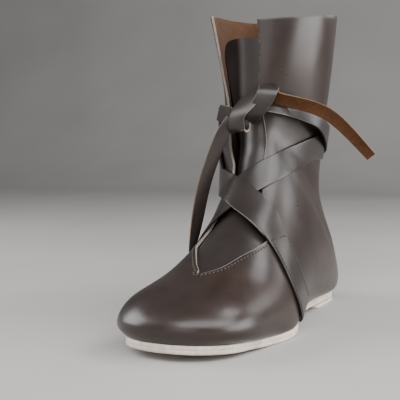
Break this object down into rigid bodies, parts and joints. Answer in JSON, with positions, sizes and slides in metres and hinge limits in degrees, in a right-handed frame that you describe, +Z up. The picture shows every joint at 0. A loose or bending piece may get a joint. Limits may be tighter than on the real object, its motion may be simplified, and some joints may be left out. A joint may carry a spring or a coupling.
{
  "type": "medieval ankle boot",
  "caption": "Empty left ankle boot of glossy brown leather with a thin pale sole, an open front with a tongue, and straps that cross the instep, wrap the ankle and tie in a knot in front.",
  "frame": {"origin": "middle of the boot's box, without the free strap ends and their knot, on the floor that the sole stands on", "axes": "+Y from toe to heel, +X to the outer side of the left foot, +Z up"},
  "size_m": [0.1524, 0.2906, 0.266],
  "materials": {
    "brown_leather": "smooth dark brown leather, waxed to a soft gloss",
    "tongue_leather": "soft dark brown leather, satin",
    "strap_leather": "dark brown leather, glossy outside, rough rust-brown flesh side",
    "flesh_leather": "matt brown flesh side",
    "pale_sole_leather": "undyed cream sole leather, matt cut edge",
    "pale_heel_leather": "undyed cream sole leather, matt cut edge"
  },
  "bodies": {
    "root": {"upper": "brown_leather", "insole": "flesh_leather", "outsole": "pale_sole_leather", "heel_lift": "pale_heel_leather", "tongue": "tongue_leather", "strap_outer": "strap_leather", "strap_inner": "strap_leather", "knot": "strap_leather", "tail_front": "strap_leather", "tail_outer": "strap_leather"}
  },
  "joints": []
}
